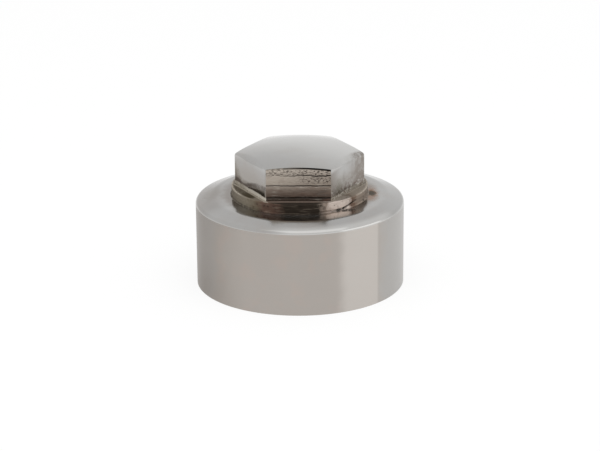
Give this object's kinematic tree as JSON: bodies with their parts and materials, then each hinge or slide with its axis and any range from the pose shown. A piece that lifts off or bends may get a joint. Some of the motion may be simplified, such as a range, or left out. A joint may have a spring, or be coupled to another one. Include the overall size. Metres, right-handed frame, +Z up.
{
  "type": "fork top nut",
  "caption": "Round cap nut for the top of a motorcycle fork tube, with a domed hexagon head on a short collar and a blind threaded bore.",
  "frame": {"origin": "centre of the flat rim that the nut stands on", "axes": "+Z up the axis through the head, -Y square out of one flat of the hexagon"},
  "size_m": [0.0412, 0.0412, 0.0282],
  "materials": {
    "plated_steel": "polished bright plate, gone grey, with brown stains round the collar"
  },
  "bodies": {
    "root": {"fork_top_nut": "plated_steel"}
  },
  "joints": []
}
